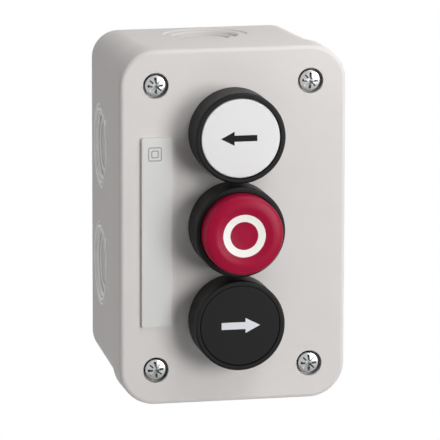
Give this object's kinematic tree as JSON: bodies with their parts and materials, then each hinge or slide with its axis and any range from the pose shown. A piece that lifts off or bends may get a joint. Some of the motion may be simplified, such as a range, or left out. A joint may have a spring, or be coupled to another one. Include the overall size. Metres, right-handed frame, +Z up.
{
  "type": "pushbutton control station",
  "caption": "Surface-mounted control station: drafted plastic enclosure with knock-outs, screwed lid, flush pushbuttons and a projecting stop button with contact blocks.",
  "frame": {"origin": "middle of the wall face, centred between the four fixing holes", "axes": "-Y out of the front of the lid, +X to the viewer's right, +Z up"},
  "size_m": [0.073, 0.079, 0.114],
  "materials": {
    "shell": "moulded polycarbonate, fine satin texture, light warm grey",
    "label": "smooth satin plate, light grey",
    "collar": "moulded polyamide, satin black",
    "white_cap": "satin white",
    "red_cap": "satin crimson",
    "black_cap": "satin black",
    "grey_plastic": "moulded polyamide, dark grey",
    "block": "moulded polyamide, black",
    "rubber": "soft moulded rubber",
    "steel": "zinc plated",
    "brass": "stamped, with silver contact tips"
  },
  "bodies": {
    "station": {"base_shell": "shell", "lid": "shell", "lid_gasket": "rubber", "lid_screws": "steel", "label_plate": "label", "white_bezel": "collar", "white_seal": "rubber", "white_nut": "grey_plastic", "white_return_spring": "steel", "white_block": "block", "white_block_cover": "grey_plastic", "white_terminals": "brass", "white_terminal_screws": "steel", "red_bezel": "collar", "red_seal": "rubber", "red_nut": "grey_plastic", "red_return_spring": "steel", "red_block": "block", "red_block_cover": "grey_plastic", "red_terminals": "brass", "red_terminal_screws": "steel", "black_bezel": "collar", "black_seal": "rubber", "black_nut": "grey_plastic", "black_return_spring": "steel", "black_block": "block", "black_block_cover": "grey_plastic", "black_terminals": "brass", "black_terminal_screws": "steel"},
    "white_button": {"white_cap": "white_cap", "white_plunger": "grey_plastic", "white_carrier": "grey_plastic", "white_bridge": "brass", "white_contact_spring": "steel"},
    "red_button": {"red_cap": "red_cap", "red_plunger": "grey_plastic", "red_carrier": "grey_plastic", "red_bridge": "brass", "red_contact_spring": "steel"},
    "black_button": {"black_cap": "black_cap", "black_plunger": "grey_plastic", "black_carrier": "grey_plastic", "black_bridge": "brass", "black_contact_spring": "steel"}
  },
  "joints": [
    {"name": "white_press", "type": "slide", "parent": "station", "child": "white_button", "axis": [0, 1, 0], "range_m": [0, 0.004], "stiffness_N_per_m": 500, "springref_m": -0.004, "deforming": ["white_return_spring"]},
    {"name": "red_press", "type": "slide", "parent": "station", "child": "red_button", "axis": [0, 1, 0], "range_m": [0, 0.004], "stiffness_N_per_m": 500, "springref_m": -0.004, "deforming": ["red_return_spring"]},
    {"name": "black_press", "type": "slide", "parent": "station", "child": "black_button", "axis": [0, 1, 0], "range_m": [0, 0.004], "stiffness_N_per_m": 500, "springref_m": -0.004, "deforming": ["black_return_spring"]}
  ]
}
